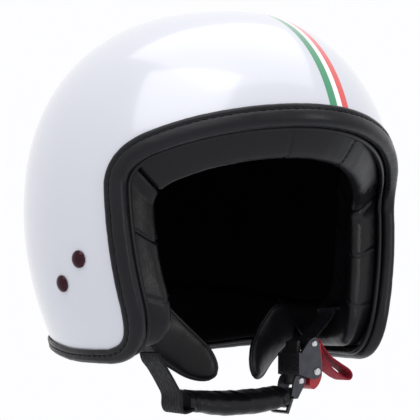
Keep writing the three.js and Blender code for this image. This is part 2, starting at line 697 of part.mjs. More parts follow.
function chinSleeve() {
  const outline = Array.from({ length: 12 }, (_, i) => {
    const turn = (i * Math.PI) / 6;
    return [Math.sign(Math.cos(turn)) * Math.abs(Math.cos(turn)) ** 0.7, Math.sin(turn)];
  });
  const steps = 12;
  const sections = [];
  for (let i = 0; i <= steps; i++) {
    const x = SLEEVE.right + ((SLEEVE.left - SLEEVE.right) * i) / steps;
    const full = 0.86 + 0.14 * Math.sin((Math.PI * i) / steps);
    sections.push(
      outline.map(([a, b]) => {
        const y = (a * SLEEVE.width * full) / 2;
        return new THREE.Vector3(x, STRAP_Y + y, sleeveLine(x) + (b * SLEEVE.thickness * full) / 2 + 0.15 * y);
      }),
    );
  }
  return loft(sections, outlineOf(outline));
}

const chinRoute = smoothRoute(
  [
    { x: 0.8 - EXIT_RIGHT.x, z: EXIT_RIGHT.z - 1 }, { x: -61, z: -14 }, { x: -55, z: -23 }, { x: -51.5, z: -29.4 },
    { x: -51.2, z: -36 }, { x: -48.6, z: -39.4 }, { x: SLEEVE.right - 0.7, z: -38 },
  ],
  14,
);

// The short strap goes down from its exit and round the buckle's bar.
function barStrap() {
  const round = [[2.7, 2.4], [2.6, -0.6], [0, -2.6], [-2.6, -0.2], [-2, 3.6]].map(([u, w]) =>
    new THREE.Vector3(STRAP_BAR.u + u, STRAP_BAR.w + w, 0).applyMatrix4(buckleFrame),
  );
  const route = smoothRoute([{ x: EXIT_LEFT.x - 0.5, z: EXIT_LEFT.z - 1 }, ...round], 14);
  return band(route, BUCKLE_WIDTH - 5, WEBBING - 0.4);
}

// ---- Materials ----
const material = (color, roughness, metalness = 0) => new THREE.MeshStandardMaterial({ color, roughness, metalness });
const gloss = material(0xf2f3f7, 0.12);
const foam = material(0x2a2a2c, 0.95);
const leather = material(0x15151a, 0.5);
const cloth = material(0x0a0a0c, 0.95);
const webbing = material(0x101014, 0.85);
const redWebbing = material(0xb01020, 0.8);
const redPlastic = material(0xb3121c, 0.35);
const gunmetal = material(0x55565c, 0.45, 0.7);
const steel = material(0xb8b9bd, 0.3, 1);
const darkChrome = material(0x2a2024, 0.15, 1);
const blackPlastic = material(0x151517, 0.5);

// ---- Assembly ----
const helmet = new THREE.Group();
helmet.position.z = -CROWN_HEIGHT;
const add = (name, geometry, look) => {
  const mesh = new THREE.Mesh(geometry, look);
  mesh.name = name;
  helmet.add(mesh);
};
const addPair = (name, geometry, look) => {
  add(`${name}_left`, geometry, look);
  add(`${name}_right`, mirrored(geometry), look);
};

const holes = [...rivetHoles(), ...rivetHoles().map(mirrored)];
add("outer_shell", cut(bowl(0, SHELL_THICKNESS, 0), ...holes), gloss);
const leftRooms = [anchorPocket(), webbingRoom(leftRoute, { x: EXIT_LEFT.x - 6, z: EXIT_LEFT.z - 6 })];
const rightRooms = [anchorPocket(), webbingRoom(rightRoute, { x: EXIT_RIGHT.x - 1, z: EXIT_RIGHT.z - 3 })].map(mirrored);
add("foam_liner", cut(bowl(FOAM_OUTER, FOAM_INNER, FOAM_START, 2), ...leftRooms, ...rightRooms), foam);
add("edge_binding", wrap(bindingOutline), leather);
add("edge_piping", wrap(pipingOutline), leather);
add("brow_pad", browPad(), leather);
add("neck_roll", neckRoll(), leather);
add("headliner", bowl(LINER_OUTER, LINER_INNER, LINER_START, 2), cloth);
add("crown_pad", crownPad(), cloth);

const studs = Object.entries(studPlaces);
const studRooms = studs.map(([, spot]) => studRoom(...spot));
add("cheek_pad_left", cut(cheekPad(), ...leftRooms, ...studRooms), leather);
add("cheek_pad_right", cut(mirrored(cheekPad()), ...rightRooms, ...studRooms.map(mirrored)), leather);
for (const [level, spot] of studs) addPair(`cheek_stud_${level}`, stud(...spot), blackPlastic);
addPair("strap_guard", strapGuard(), leather);

addPair("anchor_plate", anchorPlate(), steel);
const anchorWebbing = (route) => cut(band(route, STRAP_WIDTH, WEBBING, ANCHOR_TILT), ...rivetHoles());
add("anchor_webbing_left", anchorWebbing(leftRoute), webbing);
add("anchor_webbing_right", mirrored(anchorWebbing(rightRoute)), webbing);
for (const [spot, x] of [["front", -RIVET_HALF_PITCH], ["rear", RIVET_HALF_PITCH]]) {
  addPair(`strap_rivet_${spot}`, rivet(x), darkChrome);
  addPair(`rivet_washer_${spot}`, washer(x), steel);
}

add("buckle_strap", barStrap(), webbing);
add("buckle_housing", buckleHousing(), gunmetal);
add("strap_bar", headedPin(STRAP_BAR.u, STRAP_BAR.w, 1.4, BUCKLE_WIDTH, 2.2), steel);
add("lever_pin", headedPin(LEVER_PIN.u, LEVER_PIN.w, 1.5, BUCKLE_WIDTH, 2.6), steel);
add("lever_spring", leverSpring(), steel);
add("release_lever", releaseLever(), redPlastic);
add("pawl", pawl(), steel);
add("pull_tab", pullTab(), redWebbing);
add("ratchet_tongue", ratchetTongue(), blackPlastic);
add("tongue_pin", headedPin(0, 0, 1, TONGUE_WIDTH + 4.4, 2.2), steel);
add("tongue_bracket", tongueBracket(), gunmetal);
add("strap_adjuster", strapAdjuster(), gunmetal);
add("chin_sleeve", chinSleeve(), leather);
add("chin_webbing", band(chinRoute, STRAP_WIDTH, WEBBING), webbing);

const part = new THREE.Group();
part.add(helmet);
export default part;
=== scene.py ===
"""Looks of the open face motorcycle helmet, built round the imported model.

Heights are measured in millimetres from the helmet's lower edge, and put() turns them into the row frame,
whose origin is at the wearer's crown. The wearer faces -Y and has the right hand at -X.
"""
import math

import bmesh
import bpy
import numpy as np
from mathutils import Matrix, Vector, noise


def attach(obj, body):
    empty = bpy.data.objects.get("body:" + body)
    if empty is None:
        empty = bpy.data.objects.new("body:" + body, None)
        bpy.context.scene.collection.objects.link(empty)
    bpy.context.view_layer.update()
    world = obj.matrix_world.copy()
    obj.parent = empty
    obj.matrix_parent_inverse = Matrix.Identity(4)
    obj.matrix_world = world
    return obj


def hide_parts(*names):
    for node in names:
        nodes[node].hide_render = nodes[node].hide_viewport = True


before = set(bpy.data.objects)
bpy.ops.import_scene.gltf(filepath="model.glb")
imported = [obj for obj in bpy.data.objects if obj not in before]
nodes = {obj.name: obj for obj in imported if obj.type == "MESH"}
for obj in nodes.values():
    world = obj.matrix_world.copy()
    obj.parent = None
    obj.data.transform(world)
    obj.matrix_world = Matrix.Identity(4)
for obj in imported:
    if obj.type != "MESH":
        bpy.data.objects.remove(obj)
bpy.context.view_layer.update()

MM = 0.001
CROWN = 175.8  # height of the wearer's crown above the lower edge

# ---------------------------------------------------------------- shell layers
HALF_WIDTH, FRONT, REAR = 126.0, 134.0, 121.2
EQUATOR, DOME, DOME_POWER = 90.7, 129.7, 2.18
SIDE_TUCK, REAR_TUCK, FRONT_FLARE = 0.172, 0.071, 0.014
EGG, POINT, END_SHARE = 0.09, 0.151, 0.85
CENTRE = np.array([0.0, 0.0, 80.0])
POLE = np.array([0.0, 1.0, 1.0]) / math.sqrt(2)
REACH = 115.0  # millimetres inwards from the edge for each radian of turn about the centre
FARTHEST, HALVINGS = 290.0, 34  # how on_layer() searches along a ray
STRAP_Y = -32.0
SHELL_THICKNESS = 3.5
QUILT_LAYERS = (26.5, 32.5)  # depths of its outer and inner face below the shell's outer face


def unit(v):
    return v / np.linalg.norm(v, axis=-1, keepdims=True)


def smoothstep(x, low, high):
    t = np.clip((x - low) / (high - low), 0, 1)
    return t * t * (3 - 2 * t)


def half_width(y, z, depth):
    """Half the width of a layer at one place of its side view, 0 outside it."""
    rise = np.clip((z - EQUATOR) / (DOME - depth), 0, 1)
    closing = (1 - rise**DOME_POWER) ** (1 / DOME_POWER)
    below = np.maximum(0, (EQUATOR - z) / EQUATOR) ** 2
    half = (HALF_WIDTH - depth) * closing * (1 - SIDE_TUCK * below)
    front = (FRONT - END_SHARE * depth) * closing * (1 + FRONT_FLARE * below)
    rear = (REAR - END_SHARE * depth) * closing * (1 - REAR_TUCK * below)
    forward = ((rear - front) / 2 - y) / np.maximum((front + rear) / 2, 1e-6)
    inside = (np.abs(forward) < 1) & (closing > 0)
    forward = np.clip(forward, -1, 1)
    width = half * np.sqrt(1 - forward**2) * (1 - EGG * forward - POINT * forward**2)
    return np.where(inside, width, 0.0)


def on_layer(directions, depth):
    """Where rays from the centre meet a layer."""
    d = np.asarray(directions, float)
    low = np.zeros(d.shape[:-1])
    high = np.full(d.shape[:-1], FARTHEST)
    for _ in range(HALVINGS):
        middle = (low + high) / 2
        p = CENTRE + d * middle[..., None]
        inside = np.abs(p[..., 0]) < half_width(p[..., 1], p[..., 2], depth)
        low = np.where(inside, middle, low)
        high = np.where(inside, high, middle)
    return CENTRE + d * low[..., None]


def normals_at(directions):
    """Unit normals of the shell's outer face where rays from the centre meet it."""
    d = np.asarray(directions, float)
    across = unit(np.stack([0 * d[..., 0] + 1e-9, -d[..., 2], d[..., 1]], -1))
    other = np.cross(d, across)
    step = 0.01
    du = on_layer(unit(d + across * step), 0.0) - on_layer(unit(d - across * step), 0.0)
    dv = on_layer(unit(d + other * step), 0.0) - on_layer(unit(d - other * step), 0.0)
    n = unit(np.cross(du, dv))
    return n * np.sign((n * d).sum(-1, keepdims=True))


def turned(d, axis, angle):
    """Rodrigues' rotation of unit rows d about unit rows axis."""
    c, s = np.cos(angle)[..., None], np.sin(angle)[..., None]
    return d * c + np.cross(axis, d) * s + axis * (axis * d).sum(-1, keepdims=True) * (1 - c)


# ---------------------------------------------------------------- the shell's edge
def quad(a, b, c, n=60):
    t = np.linspace(0, 1, n, endpoint=False)[:, None]
    return (1 - t) ** 2 * np.array(a) + 2 * t * (1 - t) * np.array(b) + t * t * np.array(c)


def through(points, n=40):
    """A Catmull-Rom curve through points, with its ends repeated."""
    p = np.array(points, float)
    p = np.vstack([p[:1], p, p[-1:]])
    t = np.linspace(0, 1, n, endpoint=False)[:, None]
    out = []
    for a, b, c, d in zip(p, p[1:], p[2:], p[3:]):
        v0, v1 = (c - a) / 2, (d - b) / 2
        out.append((2 * b - 2 * c + v0 + v1) * t**3 + (3 * c - 3 * b - 2 * v0 - v1) * t**2 + v0 * t + b)
    return np.vstack([*out, p[-1:]])


EDGE_SIDE_VIEW = np.vstack([
    quad((-145, 123), (-106, 117.5), (-78, 105)),
    quad((-78, 105), (-65.5, 99), (-64.5, 88)),
    quad((-64.5, 88), (-65.25, 55), (-66, 22)),
    quad((-66, 22), (-66, -8.5), (-38, -8.8)),
    through([(-38, -8.8), (-5, -7.6), (25, -3.6), (60, 0.8), (95, -3), (140, -7.5)]),
])


def resample(points, count, closed=False):
    """Points at equal distances along a polyline."""
    p = np.vstack([points, points[:1]]) if closed else np.asarray(points, float)
    run = np.concatenate([[0], np.cumsum(np.linalg.norm(np.diff(p, axis=0), axis=1))])
    at = np.linspace(0, run[-1], count, endpoint=not closed)
    return np.stack([np.interp(at, run, p[:, k]) for k in range(p.shape[1])], 1)


FINE_STEPS = 24000


def half_edge(count):
    """The left half of the edge in space, from brow to nape."""
    fine = resample(EDGE_SIDE_VIEW, FINE_STEPS)
    w = half_width(fine[:, 0], fine[:, 1], 0)
    keep = np.nonzero(w > 0)[0]
    fine, w = fine[keep[0] : keep[-1] + 1], w[keep[0] : keep[-1] + 1]
    p = np.stack([w, fine[:, 0], fine[:, 1]], 1)
    p[0, 0] = p[-1, 0] = 0
    return resample(p, count)


HALF_COUNT = 241
left_edge = half_edge(HALF_COUNT)
edge = np.vstack([left_edge, left_edge[-2:0:-1] * [-1, 1, 1]])
COLUMNS = len(edge)
columns = unit(edge - CENTRE)
EDGE_PITCH = np.linalg.norm(np.diff(left_edge, axis=0), axis=1).mean()

edge_out = normals_at(columns)
edge_along = unit(np.roll(edge, -1, 0) - np.roll(edge, 1, 0))
edge_along = unit(edge_along - edge_out * (edge_along * edge_out).sum(1, keepdims=True))
edge_off = np.cross(edge_along, edge_out)
edge_off *= -np.sign((edge_off * POLE).sum(1, keepdims=True))


def column_near(y, z):
    return int(np.argmin(np.hypot(left_edge[:, 1] - y, left_edge[:, 2] - z)))


TEMPLE = column_near(-67, 99)
JAW = column_near(-56, -4)
CHEEK_END = column_near(15, -5)
NAPE = HALF_COUNT - 1
JAW_SPAN = 14  # half the run of columns over which the face's edge becomes the lower edge


def direction_at(column, inward):
    """Unit directions some millimetres from the edge towards the pole. Both arguments may be arrays."""
    column, inward = np.broadcast_arrays(np.asarray(column, float), np.asarray(inward, float))
    low = np.floor(column).astype(int)
    share = (column - low)[..., None]
    start = unit(columns[low % COLUMNS] * (1 - share) + columns[(low + 1) % COLUMNS] * share)
    axis = unit(np.cross(start, POLE))
    return turned(start, axis, inward / REACH)


def lowness(column):
    """0 round the face, 1 along the lower edge."""
    from_brow = np.minimum(column % COLUMNS, COLUMNS - column % COLUMNS)
    return smoothstep(from_brow, JAW - JAW_SPAN, JAW + JAW_SPAN)


# ---------------------------------------------------------------- meshes
def put(points):
    return (np.asarray(points, float) - [0, 0, CROWN]) * MM


def grid_faces(rows, cols, wrap_rows=False, wrap_cols=False, start=0):
    faces = []
    for r in range(rows if wrap_rows else rows - 1):
        for c in range(cols if wrap_cols else cols - 1):
            a, b = r * cols + c, r * cols + (c + 1) % cols
            d, e = ((r + 1) % rows) * cols + c, ((r + 1) % rows) * cols + (c + 1) % cols
            faces.append((start + a, start + b, start + e, start + d))
    return faces


def make(name, points, faces, material, body, slot, sharp=None):
    """A mesh piece in the row frame that rides on a body."""
    mesh = bpy.data.meshes.new(name)
    mesh.from_pydata([tuple(p) for p in put(points)], [], faces)
    bm = bmesh.new()
    bm.from_mesh(mesh)
    bmesh.ops.remove_doubles(bm, verts=bm.verts, dist=1e-6)
    bmesh.ops.recalc_face_normals(bm, faces=bm.faces)
    bm.to_mesh(mesh)
    bm.free()
    obj = bpy.data.objects.new(name, mesh)
    bpy.context.scene.collection.objects.link(obj)
    mesh.materials.append(material)
    mesh.polygons.foreach_set("use_smooth", [True] * len(mesh.polygons))
    if sharp is not None:
        mesh.set_sharp_from_angle(angle=math.radians(sharp))
    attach(obj, body)
    return obj


def loft(sections, closed=False):
    """Points and faces of a row of closed outlines. An open row gets end caps."""
    rows, cols = sections.shape[:2]
    faces = grid_faces(rows, cols, closed, True)
    if not closed:
        faces += [tuple(range(cols)), tuple(range((rows - 1) * cols, rows * cols))]
    return sections.reshape(-1, 3), faces


def rounded(pairs, per_side):
    """A smooth closed outline through a few corner points."""
    p = np.array(pairs, float)
    out = []
    n = len(p)
    t = np.linspace(0, 1, per_side, endpoint=False)[:, None]
    for i in range(n):
        before, here, there = (p[i - 1] + p[i]) / 2, p[i], (p[i] + p[(i + 1) % n]) / 2
        out.append((1 - t) ** 2 * before + 2 * t * (1 - t) * here + t * t * there)
    return np.vstack(out)


def fbm(points, size, octaves=3, seed=0.0):
    """Smooth noise between about -1 and 1 at each point, with features of a size in millimetres."""
    out = np.empty(len(points))
    for i, p in enumerate(np.asarray(points, float) / size):
        out[i] = noise.fractal(Vector(p) + Vector((seed, 0, 0)), 1.0, 2.0, octaves)
    return out


def relief(obj, amount):
    """Moves an object's vertices along their normals by amount(points), both in millimetres."""
    mesh = obj.data
    n = len(mesh.vertices)
    co = np.empty(n * 3)
    mesh.vertices.foreach_get("co", co)
    co = co.reshape(n, 3)
    normal = np.array([v.normal for v in mesh.vertices])
    points = co / MM + [0, 0, CROWN]
    co += normal * (amount(points) * MM)[:, None]
    mesh.vertices.foreach_set("co", co.ravel())
    mesh.update()


# ---------------------------------------------------------------- materials
class Look:
    """A procedural material. Its textures use the piece's own coordinates, in metres."""

    def __init__(self, name, color, roughness, metallic=0.0, **extra):
        self.mat = bpy.data.materials.new(name)
        self.mat.use_nodes = True
        self.mat.diffuse_color = (*color, 1)
        self.tree = self.mat.node_tree
        self.shader = self.tree.nodes["Principled BSDF"]
        self.coords = self.tree.nodes.new("ShaderNodeTexCoord").outputs["Object"]
        self.set("Base Color", (*color, 1))
        self.set("Roughness", roughness)
        self.set("Metallic", metallic)
        for key, value in extra.items():
            self.set(key.replace("_", " "), value)
        self.height = None

    def set(self, socket, value):
        if isinstance(value, bpy.types.NodeSocket):
            self.tree.links.new(value, self.shader.inputs[socket])
        else:
            self.shader.inputs[socket].default_value = value

    def node(self, kind, inputs=None, **settings):
        made = self.tree.nodes.new(kind)
        for key, value in settings.items():
            setattr(made, key, value)
        for key, value in (inputs or {}).items():
            if isinstance(value, bpy.types.NodeSocket):
                self.tree.links.new(value, made.inputs[key])
            else:
                made.inputs[key].default_value = value
        return made

    def math(self, operation, a, b=None):
        inputs = {i: v for i, v in enumerate((a, b)) if v is not None}
        return self.node("ShaderNodeMath", inputs, operation=operation).outputs[0]

    def noise(self, size, detail=3.0, roughness=0.55):
        """A noise texture with features of a size in millimetres."""
        inputs = {"Vector": self.coords, "Scale": 1 / (size * MM), "Detail": detail}
        inputs["Roughness"] = roughness
        return self.node("ShaderNodeTexNoise", inputs).outputs["Fac"]

    def cells(self, size, feature="F1", smooth=None):
        inputs = {"Vector": self.coords, "Scale": 1 / (size * MM)}
        if smooth is not None:
            inputs["Smoothness"] = smooth
        return self.node("ShaderNodeTexVoronoi", inputs, feature=feature).outputs["Distance"]

    def spread(self, value, low, high, to_low, to_high):
        inputs = {"Value": value, "From Min": low, "From Max": high, "To Min": to_low, "To Max": to_high}
        return self.node("ShaderNodeMapRange", inputs).outputs["Result"]

    def mix(self, share, a, b):
        made = self.node("ShaderNodeMix", data_type="RGBA")
        for i, value in ((0, share), (6, a), (7, b)):
            if isinstance(value, bpy.types.NodeSocket):
                self.tree.links.new(value, made.inputs[i])
            else:
                made.inputs[i].default_value = value if i == 0 else (*value, 1)
        return made.outputs[2]

    def bump(self, height, distance, strength=1.0):
        """Adds to the surface relief: distance is in millimetres."""
        inputs = {"Height": height, "Distance": distance * MM, "Strength": strength}
        if self.height is not None:
            inputs["Normal"] = self.height
        self.height = self.node("ShaderNodeBump", inputs).outputs["Normal"]
        self.set("Normal", self.height)

    def axis(self, index):
        return self.node("ShaderNodeSeparateXYZ", {0: self.coords}).outputs[index]


def waves(look, index, pitch):
    """A wave between -1 and 1 along one axis of the piece, with a pitch in millimetres."""
    return look.math("SINE", look.math("MULTIPLY", look.axis(index), 2 * math.pi / (pitch * MM)))


STRIPES = (
    (-7.0, -1.8, (0.0, 0.20, 0.08)),
    (-1.8, 1.9, (0.74, 0.75, 0.78)),
    (1.9, 6.8, (0.58, 0.02, 0.018)),
)  # from x, to x, colour


def shell_look():
    look = Look("shell_gloss", (0.50, 0.51, 0.56), 0.28, Coat_Weight=1.0, Coat_Roughness=0.10, Coat_IOR=1.5)
    x = look.axis(0)
    white = look.mix(look.noise(60, 2), (0.49, 0.50, 0.555), (0.515, 0.525, 0.575))

    def band(low, high):
        over = look.math("GREATER_THAN", x, low * MM)
        return look.math("MULTIPLY", over, look.math("LESS_THAN", x, high * MM))

    color = white
    for low, high, tint in STRIPES:
        color = look.mix(band(low, high), color, tint)
    look.set("Base Color", color)
    look.bump(look.noise(9, 1), 0.012, 0.6)
    return look.mat


LEATHER_ROUGHNESS = 0.36


def leather_look(name, grain, color):
    look = Look(name, color, LEATHER_ROUGHNESS, Specular_IOR_Level=0.2)
    pores = look.cells(grain, "SMOOTH_F1", 0.6)
    creases = look.noise(grain * 7, 4, 0.6)
    wear = look.noise(34, 3)
    worn = tuple(c * 1.7 for c in color)
    look.set("Base Color", look.mix(look.spread(wear, 0.45, 0.75, 0.0, 0.75), color, worn))
    rubbed = look.spread(wear, 0.3, 0.7, LEATHER_ROUGHNESS - 0.09, LEATHER_ROUGHNESS + 0.08)
    look.set("Roughness", look.math("ADD", rubbed, look.spread(pores, 0, 0.6, 0.07, -0.03)))
    look.bump(creases, 0.30, 0.45)
    look.bump(pores, 0.08, 0.6)
    return look.mat


def fabric_look(name, color):
    pitch = 0.9
    look = Look(name, color, 0.92, Specular_IOR_Level=0.03)
    weave = look.math("MULTIPLY", waves(look, 0, pitch), waves(look, 2, pitch))
    weave = look.math("ADD", weave, look.math("MULTIPLY", waves(look, 1, pitch), 0.6))
    fuzz = look.noise(pitch * 1.4, 2)
    light = tuple(c * 2.5 + 0.0003 for c in color)
    look.set("Base Color", look.mix(look.spread(weave, -1, 1, 0.1, 0.75), color, light))
    look.bump(weave, 0.12, 0.6)
    look.bump(fuzz, 0.2, 0.4)
    return look.mat


def webbing_look(name, color, light, pitch=1.15):
    look = Look(name, color, 0.62, Specular_IOR_Level=0.2)
    along = look.math("ADD", look.axis(0), look.math("MULTIPLY", look.axis(2), -1.0))
    fine = look.math("SINE", look.math("MULTIPLY", along, 2 * math.pi / (pitch * MM)))
    across = waves(look, 1, pitch)
    weave = look.math("MULTIPLY", fine, across)
    faded = look.spread(look.noise(7, 3), 0.3, 0.7, -0.12, 0.12)
    tone = look.math("ADD", look.spread(weave, -1, 1, 0.1, 0.8), faded)
    look.set("Base Color", look.mix(tone, color, light))
    look.set("Roughness", look.spread(look.noise(3, 3), 0.3, 0.7, 0.5, 0.72))
    look.bump(weave, 0.16, 0.8)
    look.bump(look.noise(0.8, 2), 0.1, 0.4)
    return look.mat


def metal_look(name, color, rough, metallic=1.0):
    look = Look(name, color, rough, metallic)
    patches = look.noise(5, 4)
    dark = tuple(c * 0.6 for c in color)
    look.set("Base Color", look.mix(look.spread(patches, 0.35, 0.7, 0.0, 0.6), color, dark))
    look.set("Roughness", look.spread(look.noise(1.2, 5), 0.3, 0.7, rough - 0.08, rough + 0.1))
    look.bump(look.noise(0.35, 2), 0.02, 0.5)
    return look.mat


def plastic_look(name, color, rough):
    look = Look(name, color, rough)
    faded = tuple(min(1.0, c * 1.25 + 0.01) for c in color)
    look.set("Base Color", look.mix(look.spread(look.noise(8, 4), 0.4, 0.7, 0.0, 0.6), color, faded))
    look.set("Roughness", look.spread(look.noise(2.5, 4), 0.3, 0.7, rough - 0.06, rough + 0.08))
    look.bump(look.noise(0.5, 3), 0.04, 0.5)
    return look.mat


def foam_look():
    look = Look("foam_beads", (0.002, 0.002, 0.002), 0.9, Specular_IOR_Level=0.03)
    beads = look.cells(3.2)
    share = look.spread(beads, 0.1, 0.6, 0, 1)
    look.set("Base Color", look.mix(share, (0.003, 0.003, 0.003), (0.001, 0.001, 0.001)))
    look.bump(beads, 0.6, 0.8)
    return look.mat


gloss = shell_look()
leather = leather_look("black_leather", 1.1, (0.0035, 0.0035, 0.0045))
trim_leather = leather_look("trim_leather", 0.9, (0.005, 0.005, 0.007))
lining = fabric_look("black_lining", (0.0004, 0.0004, 0.0006))
black_webbing = webbing_look("black_webbing", (0.002, 0.002, 0.003), (0.012, 0.012, 0.015))
red_webbing = webbing_look("red_tape", (0.16, 0.004, 0.014), (0.34, 0.012, 0.034), 0.9)
thread = webbing_look("black_thread", (0.006, 0.006, 0.008), (0.03, 0.03, 0.035), 0.5)
gunmetal = metal_look("gunmetal", (0.065, 0.065, 0.078), 0.30, 0.85)
steel = metal_look("plated_steel", (0.62, 0.62, 0.64), 0.26)
black_chrome = metal_look("black_chrome", (0.045, 0.018, 0.024), 0.16)
red_plastic = plastic_look("red_nylon", (0.26, 0.004, 0.010), 0.3)
black_plastic = plastic_look("black_nylon", (0.005, 0.005, 0.006), 0.4)
foam = foam_look()

# ---------------------------------------------------------------- camera, floor, light
FOCAL_IN_PIXELS, FRAME_PIXELS = 837.7, 420
AZIMUTH, ELEVATION, ROLL = math.radians(-33.914), math.radians(-9.03), math.radians(-0.3)
DISTANCE = 569.8
TARGET = (-1.18, 0.79, 90.05)


def add_camera():
    level = math.cos(ELEVATION)
    back = Vector((math.sin(AZIMUTH) * level, -math.cos(AZIMUTH) * level, math.sin(ELEVATION)))
    right = Vector((0, 0, 1)).cross(back).normalized()
    up = back.cross(right)
    right, up = (
        right * math.cos(ROLL) + up * math.sin(ROLL),
        up * math.cos(ROLL) - right * math.sin(ROLL),
    )
    data = bpy.data.cameras.new("camera")
    data.sensor_width = 36
    data.lens = FOCAL_IN_PIXELS / FRAME_PIXELS * data.sensor_width
    data.clip_start = 0.01
    camera = bpy.data.objects.new("camera", data)
    bpy.context.scene.collection.objects.link(camera)
    at = Vector(put(TARGET)) + back * DISTANCE * MM
    camera.matrix_world = Matrix((
        (right.x, up.x, back.x, at.x),
        (right.y, up.y, back.y, at.y),
        (right.z, up.z, back.z, at.z),
        (0, 0, 0, 1),
    ))
    bpy.context.scene.camera = camera


def add_light(name, azimuth, elevation, distance, size, power):
    """A soft area light that faces the helmet. Azimuth 0 is in front of the wearer's face."""
    a, e = math.radians(azimuth), math.radians(elevation)
    way = Vector((math.sin(a) * math.cos(e), -math.cos(a) * math.cos(e), math.sin(e)))
    data = bpy.data.lights.new(name, "AREA")
    data.shape = "RECTANGLE"
    data.size, data.size_y = size
    data.energy = power
    lamp = bpy.data.objects.new(name, data)
    bpy.context.scene.collection.objects.link(lamp)
    lamp.location = Vector(put((0, 0, 90))) + way * distance
    lamp.rotation_euler = way.to_track_quat("Z", "Y").to_euler()


def add_stage():
    floor_look = Look("floor", (0.86, 0.86, 0.87), 0.8)
    pale = floor_look.mix(floor_look.noise(900, 2), (0.93, 0.94, 0.96), (0.95, 0.96, 0.98))
    floor_look.set("Base Color", pale)
    mesh = bpy.data.meshes.new("floor")
    side, level = 6.0, -1.1  # metres
    corners = [(-side, -side, level), (side, -side, level), (side, side, level), (-side, side, level)]
    mesh.from_pydata(corners, [], [(0, 1, 2, 3)])
    mesh.materials.append(floor_look.mat)
    floor = bpy.data.objects.new("floor", mesh)
    bpy.context.scene.collection.objects.link(floor)
    world = bpy.data.worlds.new("studio")
    world.use_nodes = True
    background = world.node_tree.nodes["Background"]
    background.inputs["Color"].default_value = (0.985, 0.985, 1.0, 1)
    background.inputs["Strength"].default_value = 1.0
    bpy.context.scene.world = world
    bpy.context.scene.view_settings.view_transform = "Standard"


add_camera()
add_stage()
add_light("key", -62, 46, 1.5, (0.9, 0.9), 6)
add_light("top", -10, 80, 1.3, (1.3, 1.3), 7)
add_light("side", 12, 16, 1.6, (0.25, 0.9), 4)


# ---------------------------------------------------------------- shell and liners
def bowl_rows(column_list, inwards, rows, depth):
    """Rows of points from the edge to the pole. inwards are the first rows, in millimetres."""
    d = unit(columns[column_list])
    axis = unit(np.cross(d, POLE))
    whole = np.arccos(np.clip(d @ POLE, -1, 1))
    turns = [np.full(len(d), i / REACH) for i in inwards]
    first = turns[-1]
    turns += [first + (whole - first) * k / rows for k in range(1, rows)]
    return np.stack([on_layer(turned(d, axis, t), depth) for t in turns], 0)


def bowl(column_list, inwards, rows, outer, inner):
    """Points and faces of a closed bowl between two layers."""
    top = bowl_rows(column_list, inwards, rows, outer)
    low = bowl_rows(column_list, inwards, rows, inner)
    n, cols = top.shape[:2]
    ends = [on_layer(POLE[None], outer), on_layer(POLE[None], inner)]
    points = np.vstack([top.reshape(-1, 3), low.reshape(-1, 3), *ends])
    faces = grid_faces(n, cols, False, True) + grid_faces(n, cols, False, True, n * cols)
    poles = (2 * n * cols, 2 * n * cols + 1)
    for c in range(cols):
        d = (c + 1) % cols
        faces.append(((n - 1) * cols + c, (n - 1) * cols + d, poles[0]))
        faces.append((n * cols + (n - 1) * cols + c, n * cols + (n - 1) * cols + d, poles[1]))
        faces.append((c, d, n * cols + d, n * cols + c))
    return points, faces


all_columns = np.arange(COLUMNS)
shell_bowl = bowl(all_columns, [0, 0.6, 2, 5], 64, 0.0, SHELL_THICKNESS)
shell = make("helmet_shell", *shell_bowl, gloss, "helmet", "shell", sharp=50)
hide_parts("outer_shell")

quilt_bowl = bowl(all_columns[::3], [42, 43, 45, 48], 40, *QUILT_LAYERS)
quilt = make("quilted_liner", *quilt_bowl, lining, "helmet", "lining")
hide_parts("headliner")


CHANNEL_PITCH, CHANNEL_WIDTH, CHANNEL_DEPTH = 22.0, 1.6, 1.6
CHANNELS_ABOVE = 45  # height at which they start


def channels(points):
    """Sewn channels that run front to back across the liner."""
    across = np.abs((points[:, 0] / CHANNEL_PITCH + 0.5) % 1.0 - 0.5) * CHANNEL_PITCH
    groove = -CHANNEL_DEPTH * np.exp(-((across / CHANNEL_WIDTH) ** 2))
    return np.where(points[:, 2] > CHANNELS_ABOVE, groove, 0.0)


# ---------------------------------------------------------------- what is wrapped round the edge
def wrap(outline_at):
    """Sections of an outline of (away from the edge, out of the shell), carried round the edge."""
    low = lowness(np.arange(COLUMNS))
    sections = []
    for i in range(COLUMNS):
        pairs = outline_at(low[i])
        sections.append(edge[i] + pairs[:, :1] * edge_off[i] + pairs[:, 1:] * edge_out[i])
    return np.array(sections)


LIP, LIP_BELOW = 10.2, 6.8
STITCH_INSET = 3.3


def binding_outline(low):
    lip = LIP + (LIP_BELOW - LIP) * low
    stitch = lip - STITCH_INSET
    pairs = [
        (-lip - 0.2, 0.2), (-lip + 0.1, 1.3), (-lip + 1.4, 2.0), (-stitch - 0.8, 2.1), (-stitch, 1.3),
        (-stitch + 0.8, 2.2), (-stitch + 2.2, 2.7), (-1.4, 2.9), (1.2, 2.0), (2.3, -0.6), (2.2, -3.6),
        (0.8, -5.6), (-2.5, -6.3), (-5.6, -6.1), (-5.7, -4.6), (-3.0, -4.2), (-0.2, -4.0), (0.25, -2.0),
        (0.25, 0.0), (0.1, 0.25), (-3.0, 0.2),
    ]
    return rounded(pairs, 3)


binding = make("leather_edge_binding", *loft(wrap(binding_outline), True), trim_leather, "helmet", "leather")
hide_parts("edge_binding")
relief(binding, lambda p: 0.10 * fbm(p, 7, 3) + 0.10 * fbm(p, 2.6, 2, 9.0))


def tube_round(centre_away, centre_up, radius, sides=12):
    angle = np.linspace(0, 2 * math.pi, sides, endpoint=False)
    pairs = np.stack([centre_away + radius * np.cos(angle), centre_up + radius * np.sin(angle)], 1)
    return wrap(lambda low: pairs)


piping = make("edge_piping_cord", *loft(tube_round(0.6, -8.0, 1.7), True), leather, "helmet", "leather")
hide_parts("edge_piping")


